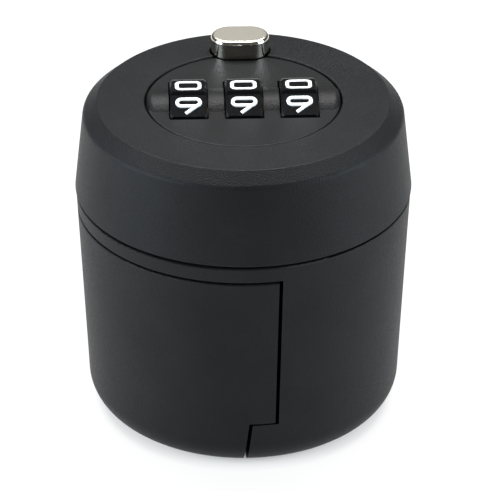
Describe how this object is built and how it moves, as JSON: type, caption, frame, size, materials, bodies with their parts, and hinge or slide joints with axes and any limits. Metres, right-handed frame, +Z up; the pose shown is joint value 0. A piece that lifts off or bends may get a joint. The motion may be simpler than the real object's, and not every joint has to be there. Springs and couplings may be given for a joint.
{
  "type": "combination bottle lock",
  "caption": "Round black combination lock that closes over a bottle's mouth: number dials and a push button in the cap, and a hinged jaw round the neck.",
  "frame": {"origin": "centre of the base, on the bottle's axis", "axes": "+Z up along the bottle's axis, -Y the front with the jaw's free edge, +X the fixed half"},
  "size_m": [0.052, 0.052, 0.0545],
  "materials": {
    "black_shell": "fine moulded grain",
    "black_plate": "satin",
    "black_dial": "semi-gloss",
    "brass": "machined",
    "nickel": "satin nickel",
    "soft_pad": "matte",
    "die_cast": "as cast",
    "steel": "bright zinc"
  },
  "bodies": {
    "housing": {"top_cap": "black_shell", "dial_plate": "black_plate", "lower_body": "black_shell", "hinge_pin": "steel", "floor_plate": "black_plate", "bottle_pad": "soft_pad", "cap_screws": "steel", "lock_chassis": "die_cast", "chassis_screws": "steel", "detent_spring": "steel", "dial_axle": "steel", "axle_clips": "steel", "axle_spacer": "steel", "guide_pins": "steel", "button_spring": "steel"},
    "left_dial": {"dial_wheel_left": "black_dial", "gate_sleeve_left": "brass"},
    "centre_dial": {"dial_wheel_centre": "black_dial", "gate_sleeve_centre": "brass"},
    "right_dial": {"dial_wheel_right": "black_dial", "gate_sleeve_right": "brass"},
    "button": {"push_button": "nickel", "bolt_frame": "steel", "stem_screws": "steel"},
    "jaw": {"hinged_jaw": "black_shell", "jaw_strike": "steel", "strike_screws": "steel"}
  },
  "joints": [
    {"name": "left_dial_turn", "type": "hinge", "parent": "housing", "child": "left_dial", "pos_m": [-0.0084, 0, 0.0471], "axis": [1, 0, 0], "continuous": true},
    {"name": "centre_dial_turn", "type": "hinge", "parent": "housing", "child": "centre_dial", "pos_m": [0, 0, 0.0471], "axis": [1, 0, 0], "continuous": true},
    {"name": "right_dial_turn", "type": "hinge", "parent": "housing", "child": "right_dial", "pos_m": [0.0084, 0, 0.0471], "axis": [1, 0, 0], "continuous": true},
    {"name": "button_press", "type": "slide", "parent": "housing", "child": "button", "axis": [0, 0, -1], "range_m": [0, 0.0025], "stiffness_N_per_m": 400, "springref_m": -0.002, "deforming": ["button_spring"]},
    {"name": "jaw_swing", "type": "hinge", "parent": "housing", "child": "jaw", "pos_m": [0, 0.023, 0.017], "axis": [0, 0, -1], "range_deg": [0, 85]}
  ]
}
